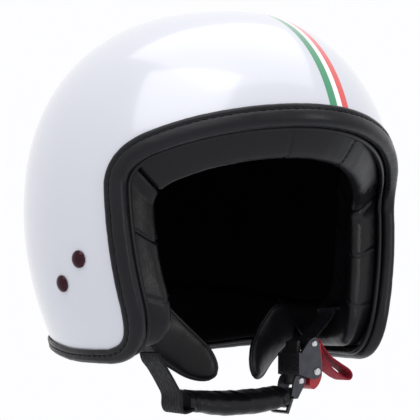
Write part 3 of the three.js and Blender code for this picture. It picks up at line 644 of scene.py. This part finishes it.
def stitches(name, path, normals, material, body, slot, pitch=4.6, length=3.2, radius=0.42, closed=True):
    """A row of thread stitches that dips into the material between them. path is a polyline with normals."""
    p = np.vstack([path, path[:1]]) if closed else path
    nn = np.vstack([normals, normals[:1]]) if closed else normals
    run = np.concatenate([[0], np.cumsum(np.linalg.norm(np.diff(p, axis=0), axis=1))])
    count = max(1, int(run[-1] / pitch))
    step = run[-1] / count

    def at(s, rows=p):
        return np.array([np.interp(s, run, rows[:, k]) for k in range(3)])

    rings, sides = 6, 6
    points, faces = [], []
    for k in range(count):
        middle = (k + 0.5) * step
        start = len(points)
        up = unit(at(middle, nn))
        along = unit(at(min(middle + length / 2, run[-1])) - at(max(middle - length / 2, 0)))
        side = unit(np.cross(along, up))
        for r in range(rings + 1):
            t = r / rings
            s = np.clip(middle + (t - 0.5) * length, 0, run[-1])
            width = radius * max(0.12, math.sin(math.pi * t)) ** 0.5
            rise = radius * (0.9 * math.sin(math.pi * t) - 0.35)
            for q in range(sides):
                a = 2 * math.pi * q / sides
                points.append(at(s) + up * (rise + width * math.sin(a)) + side * width * math.cos(a))
        faces += grid_faces(rings + 1, sides, False, True, start)
        last = start + rings * sides
        faces += [tuple(range(start, start + sides)), tuple(range(last, last + sides))]
    return make(name, points, faces, material, body, slot)


def edge_line(away, up):
    """A line parallel to the edge, with away given for the port and for the lower edge."""
    low = lowness(np.arange(COLUMNS))[:, None]
    return edge + edge_off * (away[0] + (away[1] - away[0]) * low) + edge_out * up


stitch_line = edge_line((-LIP + STITCH_INSET, -LIP_BELOW + STITCH_INSET), 1.75)
stitches("binding_stitches", stitch_line, edge_out, thread, "helmet", "leather")


# ---------------------------------------------------------------- padding
CHEEK_LEAN, BROW_LEAN, NECK_LEAN = 0.85, 0.55, 0.7
PAD_END = 3.2  # length over which a pad narrows to its end


def pad_outline(length, face, back, puff, lean):
    """Outline of (inwards from the edge, depth) of a padded roll, its face in the plane of the opening."""
    def front(depth):
        return 2.2 - lean * (depth - 12)

    pairs = [
        (4.4, 9.6), (2.4, 11.0), (front(15), 15), (front(21) - 1.5, 21), (front(face - 5) - 2.2, face - 5),
        (front(face) + 0.5, face + 0.8 + puff * 0.4), (front(face) + 9, face + 2.2 + puff),
        (14, face + 2.2 + puff), (length * 0.7, back + 1.5 + puff), (length - 4, back),
        (length - 0.5, back - 3), (length - 0.5, 27.5),
        (length * 0.6, 26.2), (14, 26.2), (11.4, 22), (11.2, 12),
    ]
    return rounded(pairs, 4)


def section_points(column, pairs):
    d = direction_at(np.full(len(pairs), float(column)), pairs[:, 0])
    return on_layer(d, pairs[:, 1])


def pad(name, start, stop, outline_at, material, count):
    """A pad along a run of columns, with rounded ends."""
    share = 0.5 - 0.5 * np.cos(np.linspace(0, math.pi, count))
    share = share * 0.7 + np.linspace(0, 1, count) * 0.3
    sections = []
    for s in share:
        column = start + (stop - start) * s
        pairs = outline_at(s)
        gap = min(s, 1 - s) * abs(stop - start) * EDGE_PITCH
        shrink = 1 - 0.10 * max(0.0, 1 - gap / PAD_END) ** 2
        pairs = pairs.mean(0) + (pairs - pairs.mean(0)) * shrink
        sections.append(section_points(column, pairs))
    return make(name, *loft(np.array(sections)), material, "helmet", "leather")


GAP = 0.25  # between the end of a pad and a corner of the port, in columns of the edge
NECK_GAP = 0.4


def brow_outline(s):
    middle = math.sin(math.pi * s)
    return pad_outline(41, 30 + 2 * middle, 31, 1.2, CHEEK_LEAN + (BROW_LEAN - CHEEK_LEAN) * middle)


def cheek_outline(s):
    plump = math.sin(math.pi * min(1, s * 1.3))
    return pad_outline(41, 30 - 2 * s, 31 + 4 * plump, 1.2 + 1.2 * plump, CHEEK_LEAN)


def neck_outline(s):
    middle = math.sin(math.pi * s)
    lean = CHEEK_LEAN + (NECK_LEAN - CHEEK_LEAN) * middle
    return pad_outline(38, 28 + 2 * middle, 29 + 2 * middle, 1.2, lean)


brow = pad("brow_padding", -TEMPLE + GAP, TEMPLE - GAP, brow_outline, leather, 260)
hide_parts("brow_pad")
cheek_left = pad("cheek_padding_left", TEMPLE + GAP, CHEEK_END, cheek_outline, leather, 220)
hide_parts("cheek_pad_left")
cheek_right = pad("cheek_padding_right", -TEMPLE - GAP, -CHEEK_END, cheek_outline, leather, 220)
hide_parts("cheek_pad_right")
neck_start = CHEEK_END + NECK_GAP
neck = pad("neck_roll_padding", neck_start, 2 * NAPE - neck_start, neck_outline, lining, 200)
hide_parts("neck_roll")


SEAM_WIDTH, SEAM_DEPTH = 0.7, 0.8


def seam_at(points, columns_list):
    """Relief of seams that cross a pad at some columns of the edge."""
    out = np.zeros(len(points))
    for column in columns_list:
        d = direction_at(column, np.array([0.0, 60.0]))
        normal = unit(np.cross(d[0], d[1]))
        off = (points - CENTRE) @ normal
        near = ((points - CENTRE) @ unit(d[0] + d[1])) > 0
        out -= np.where(near, SEAM_DEPTH * np.exp(-((off / SEAM_WIDTH) ** 2)), 0)
    return out


def leather_relief(seams, seed):
    def amount(p):
        wrinkle = 0.32 * fbm(p, 24, 3, seed) + 0.10 * fbm(p, 5, 2, seed + 5)
        return wrinkle + seam_at(p, seams)

    return amount


CHEEK_SEAMS = (column_near(-66, 62), column_near(-66, 20))
BROW_SEAM_AT = 26.0  # from the middle of the brow
BROW_SEAMS = (-BROW_SEAM_AT / EDGE_PITCH, BROW_SEAM_AT / EDGE_PITCH)
NECK_SEAMS = (NAPE - 30, NAPE, NAPE + 30)
relief(brow, leather_relief(BROW_SEAMS, 3.0))
relief(cheek_left, leather_relief(CHEEK_SEAMS, 11.0))
relief(cheek_right, leather_relief([-c for c in CHEEK_SEAMS], 17.0))
relief(neck, leather_relief(NECK_SEAMS, 23.0))


SEAM_SPAN = slice(6, 30)  # the points of a pad's outline on its seen face
STITCH_BESIDE_SEAM = 0.9  # in columns of the edge
STITCH_LIFT = 0.35
BEFORE_THE_PORT = np.array([0.0, -170.0, -60.0])  # a place that the pads' seen faces turn to


def sewn_seam(name, column, outline, share):
    """Stitches beside a seam that crosses a pad's face."""
    pairs = outline(share)
    run = pairs[SEAM_SPAN]
    d = direction_at(np.full(len(run), column + STITCH_BESIDE_SEAM), run[:, 0])
    path = on_layer(d, run[:, 1] + STITCH_LIFT)
    towards = unit(BEFORE_THE_PORT - path)
    stitches(
        name, path, towards, thread, "helmet", "leather", pitch=3.4, length=2.3, radius=0.32, closed=False
    )


for side, sign in (("left", 1), ("right", -1)):
    for level, column in zip(("upper", "lower"), CHEEK_SEAMS):
        share = (column - TEMPLE - GAP) / (CHEEK_END - TEMPLE - GAP)
        sewn_seam(f"cheek_seam_stitches_{level}_{side}", sign * column, cheek_outline, share)
    share = 0.5 + BROW_SEAMS[1] / (2 * TEMPLE - 2 * GAP)
    sewn_seam(f"brow_seam_stitches_{side}", sign * BROW_SEAMS[1], brow_outline, share)
relief(quilt, channels)


def crown_cushion():
    radius, thickness = 37.0, 7.6
    corners = [
        (0, 0.1), (radius * 0.5, 0.1), (radius - 3, 0.3), (radius, 2.0), (radius - 2, 4.0),
        (radius * 0.5, 6.4), (0, thickness),
    ]
    profile = rounded(corners, 4)
    profile = profile[profile[:, 0] > 0.01]
    sides = 64
    points = []
    for a in np.linspace(0, 2 * math.pi, sides, endpoint=False):
        points += [(r * math.cos(a), r * math.sin(a), CROWN + h) for r, h in profile]
    n = len(profile)
    faces = grid_faces(sides, n, True, False)
    faces.append(tuple(k * n for k in range(sides)))
    faces.append(tuple(k * n + n - 1 for k in range(sides)))
    return make("crown_cushion", points, faces, lining, "helmet", "lining")


crown = crown_cushion()
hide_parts("crown_pad")


# ---------------------------------------------------------------- strap guards
GUARD_ROOT, GUARD_TIP = np.array([62.0, -6.0, 20.0]), np.array([15.0, -24.0, -19.0])
GUARD_BOW, GUARD_HALF_THICKNESS = 5, 3.6


def guard(side):
    """A padded leather leaf with a piped edge. side is 1 on the wearer's left."""
    axis = GUARD_TIP - GUARD_ROOT
    flat = unit(np.array([axis[0], axis[1], 0]))
    face = np.array([-flat[1], flat[0], 0])
    across = unit(np.cross(face, axis))
    steps, around = 40, 36
    root_width, tip_width, root_end, tip_start = 17, 10, 0.25, 0.72
    angle = np.linspace(0, 2 * math.pi, around, endpoint=False)
    sections, rim = [], [[], []]
    for i in range(steps + 1):
        t = i / steps
        width = root_width * (1 - t) + tip_width * t
        close = math.sqrt(max(0.0, 1 - (max(0.0, t - tip_start) / (1.001 - tip_start)) ** 2))
        close *= math.sqrt(max(0.0, 1 - (max(0.0, root_end - t) / (root_end + 0.001)) ** 2))
        middle = GUARD_ROOT + axis * t - face * GUARD_BOW * math.sin(math.pi * t)
        thick = GUARD_HALF_THICKNESS * min(1, 0.25 + close)
        ring = middle + np.outer(np.cos(angle) * width * close, across) + np.outer(
            np.sign(np.sin(angle)) * np.abs(np.sin(angle)) ** 0.8 * thick, face
        )
        sections.append(ring)
        rim[0].append(middle + across * width * close)
        rim[1].append(middle - across * width * close)
    flip = np.array([side, 1, 1])
    label = "left" if side > 0 else "right"
    leaf = make(f"strap_guard_leaf_{label}", *loft(np.array(sections) * flip), leather, "helmet", "leather")
    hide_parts(f"strap_guard_{label}")
    relief(leaf, lambda p: 0.35 * fbm(p, 14, 3, 31.0))
    line = resample(np.vstack([rim[0], rim[1][::-1]]), 120)
    tube(f"strap_guard_piping_{label}", line * flip, 1.25, leather, "helmet", "leather")


def tube(name, line, radius, material, body, slot, sides=10):
    """A round cord along a polyline."""
    line = np.asarray(line, float)
    along = unit(np.gradient(line, axis=0))
    helper = np.array([0.0, 0.0, 1.0])
    side = unit(np.cross(along, helper) + 1e-9)
    for i in range(1, len(side)):
        side[i] = unit(side[i - 1] - along[i] * (side[i - 1] @ along[i]))
    up = np.cross(along, side)
    angle = np.linspace(0, 2 * math.pi, sides, endpoint=False)
    rings = line[:, None] + radius * (
        np.cos(angle)[None, :, None] * side[:, None] + np.sin(angle)[None, :, None] * up[:, None]
    )
    return make(name, *loft(rings), material, body, slot)


guard(1)
guard(-1)

# ---------------------------------------------------------------- rivets
RIVETS = ((-36.0, 47.6), (-18.6, 34.9))


def rivet_head(name, y, z, side):
    spot = np.array([half_width(np.array(y), np.array(z), 0), y, z])
    out = normals_at(unit(spot - CENTRE)[None])[0]
    u = unit(np.cross(out, [0, 0, 1.0]))
    v = np.cross(out, u)
    profile = [
        (0, 2.6), (1.2, 2.57), (2.4, 2.4), (3.5, 2.0), (4.3, 1.5), (4.8, 1.05), (5.0, 0.7), (5.0, 0.35),
        (2.4, 0.3), (2.4, -6), (0, -6),
    ]
    sides = 40
    points = []
    for a in np.linspace(0, 2 * math.pi, sides, endpoint=False):
        for r, h in profile:
            points.append(spot + out * h + (u * math.cos(a) + v * math.sin(a)) * max(r, 1e-3))
    n = len(profile)
    faces = grid_faces(sides, n, True, False)
    faces += [tuple(k * n for k in range(sides)), tuple(k * n + n - 1 for k in range(sides))]
    return make(name, np.array(points) * [side, 1, 1], faces, black_chrome, "helmet", "dark_chrome", sharp=40)


for side, label in ((1, "left"), (-1, "right")):
    for spot, where in zip(RIVETS, ("front", "rear")):
        head = rivet_head(f"rivet_head_{where}_{label}", *spot, side)
        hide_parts(f"strap_rivet_{where}_{label}")


# ---------------------------------------------------------------- webbing
def ribbon(name, route, width, thickness, material, body, slot, ribs=7, depth=0.22, steps=90):
    """Flat webbing along a route in the strap's plane, with ribs along its length."""
    line = resample(through(route, 24), steps)
    along = unit(np.gradient(line, axis=0))
    up = np.stack([-along[:, 1], along[:, 0]], 1)
    half = width / 2
    s = np.linspace(-1, 1, 8 * ribs + 1)
    top = thickness / 2 * (1 - 0.55 * np.maximum(0, (np.abs(s) - 0.93) / 0.07) ** 2)
    top = top + depth * 0.5 * (np.cos(np.pi * 2 * ribs * (s + 1) / 2 + math.pi) - 1) * (np.abs(s) < 0.97)
    outline = np.concatenate([np.stack([s * half, top], 1), np.stack([s[::-1] * half, -top[::-1]], 1)])
    sections = []
    for i in range(steps):
        base = np.array([line[i, 0], STRAP_Y, line[i, 1]])
        lift = np.array([up[i, 0], 0, up[i, 1]])
        sections.append(base + outline[:, :1] * np.array([0, 1, 0]) + outline[:, 1:] * lift)
    return make(name, *loft(np.array(sections)), material, body, slot)


STRAP_WIDTH = 23
PIN_X, PIN_Z = 41.3, -23.8
EXIT_LEFT, EXIT_RIGHT = (71.0, 19.0), (-66.0, -8.0)
TONGUE_TIP = 26.0
arm = np.array([PIN_X, PIN_Z]) - EXIT_RIGHT
LEAN = -math.atan2(arm[1], arm[0]) - TONGUE_TIP / 2 / np.linalg.norm(arm)


def in_buckle(u, w):
    """(x, z) of a place in the buckle's own frame, from the tongue's pin."""
    return (
        PIN_X + u * math.cos(LEAN) + w * math.sin(LEAN),
        PIN_Z - u * math.sin(LEAN) + w * math.cos(LEAN),
    )


def sleeve_line(x):
    return -36.0 + 0.0024 * (x + 6) ** 2


SLEEVE_LEFT, SLEEVE_RIGHT = 29.5, -45.0
SLEEVE_HALF_WIDTH, SLEEVE_HALF_THICKNESS, SLEEVE_TILT = 13.5, 6.6, 0.15
chin = ribbon(
    "chin_webbing_band",
    [
        (-66.6, -4.5), (-65.2, -9.0), (-61, -14), (-55, -23), (-51.5, -29.4), (-51.2, -36), (-48.6, -39.4),
        (-42, -38),
    ],
    STRAP_WIDTH, 1.8, black_webbing, "strap", "webbing",
)
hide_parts("chin_webbing")
ribbon(
    "adjuster_webbing", [(22, -34.2), (27, -33.6), (30.2, -34.0), (32.0, -36.4), (32.2, -39.4)],
    12, 1.6, black_webbing, "strap", "webbing",
)

BAR_U, BAR_W = 9.0, 24.0
ROUND_THE_BAR = ((2.7, 2.4), (2.6, -0.6), (0, -2.6), (-2.6, -0.2), (-2, 3.6))
round_bar = [in_buckle(BAR_U + u, BAR_W + w) for u, w in ROUND_THE_BAR]
short = ribbon(
    "buckle_webbing_band", [(71.6, 24), (EXIT_LEFT[0] - 0.5, EXIT_LEFT[1] - 1), *round_bar], 17, 1.4,
    black_webbing, "buckle", "webbing", ribs=5,
)
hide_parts("buckle_strap")

TAB = (
    (15.9, 26.6), (18.2, 26.4), (21.4, 22), (28, 15.8), (37, 11), (44.5, 7.2), (47, 3.6), (44.4, 1),
    (37.5, 3), (29, 8), (23, 14), (20.4, 19), (18.2, 21.9), (15.4, 22.1),
)
tab_route = [in_buckle(u, w) for u, w in TAB]
tab = ribbon("pull_tab_loop", tab_route, 13, 1.6, red_webbing, "tab", "red_webbing", ribs=5, depth=0.15)
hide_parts("pull_tab")


def chin_cushion():
    around, steps = 48, 90
    angle = np.linspace(0, 2 * math.pi, around, endpoint=False)
    a = np.sign(np.cos(angle)) * np.abs(np.cos(angle)) ** 0.75
    b = np.sign(np.sin(angle)) * np.abs(np.sin(angle)) ** 0.9
    sections = []
    for i in range(steps + 1):
        t = i / steps
        x = SLEEVE_RIGHT + (SLEEVE_LEFT - SLEEVE_RIGHT) * t
        end = min(t, 1 - t) * (SLEEVE_LEFT - SLEEVE_RIGHT)
        hem = 1 - 0.10 * math.exp(-(((end - 5.0) / 1.1) ** 2))
        full = (0.86 + 0.14 * math.sin(math.pi * t)) * hem
        y = a * SLEEVE_HALF_WIDTH * full
        z = sleeve_line(x) + b * SLEEVE_HALF_THICKNESS * full + SLEEVE_TILT * y
        sections.append(np.stack([np.full(around, x), STRAP_Y + y, z], 1))
    piece = make("chin_cushion_sleeve", *loft(np.array(sections)), leather, "strap", "leather", sharp=60)
    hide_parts("chin_sleeve")
    relief(piece, lambda p: 0.4 * fbm(p * [1.0, 0.35, 0.6], 6, 3, 41.0) + 0.3 * fbm(p, 20, 2, 47.0))


chin_cushion()


# ---------------------------------------------------------------- buckle and small metal parts
BEVEL_ANGLE = 35  # edges sharper than this are softened


def finish_node(name, material, bevel):
    """Gives a CAD node a material and soft edges."""
    obj = nodes[name]
    obj.data.materials.clear()
    obj.data.materials.append(material)
    weld = obj.modifiers.new("weld", "WELD")
    weld.merge_threshold = 1e-6
    if bevel:
        mod = obj.modifiers.new("edges", "BEVEL")
        mod.width = bevel * MM
        mod.segments = 2
        mod.limit_method = "ANGLE"
        mod.angle_limit = math.radians(BEVEL_ANGLE)


finish_node("buckle_housing", gunmetal, 0.3)
finish_node("tongue_bracket", gunmetal, 0.25)
finish_node("strap_adjuster", gunmetal, 0.35)
finish_node("release_lever", red_plastic, 0.4)
finish_node("ratchet_tongue", black_plastic, 0.15)
for name in ("strap_bar", "lever_pin", "tongue_pin", "pawl", "lever_spring"):
    finish_node(name, steel, 0)
for side in ("left", "right"):
    finish_node(f"anchor_plate_{side}", steel, 0)
    finish_node(f"anchor_webbing_{side}", black_webbing, 0)
    for where in ("front", "rear"):
        finish_node(f"rivet_washer_{where}_{side}", steel, 0)
    for level in ("upper", "lower"):
        finish_node(f"cheek_stud_{level}_{side}", black_plastic, 0)
finish_node("foam_liner", foam, 0)
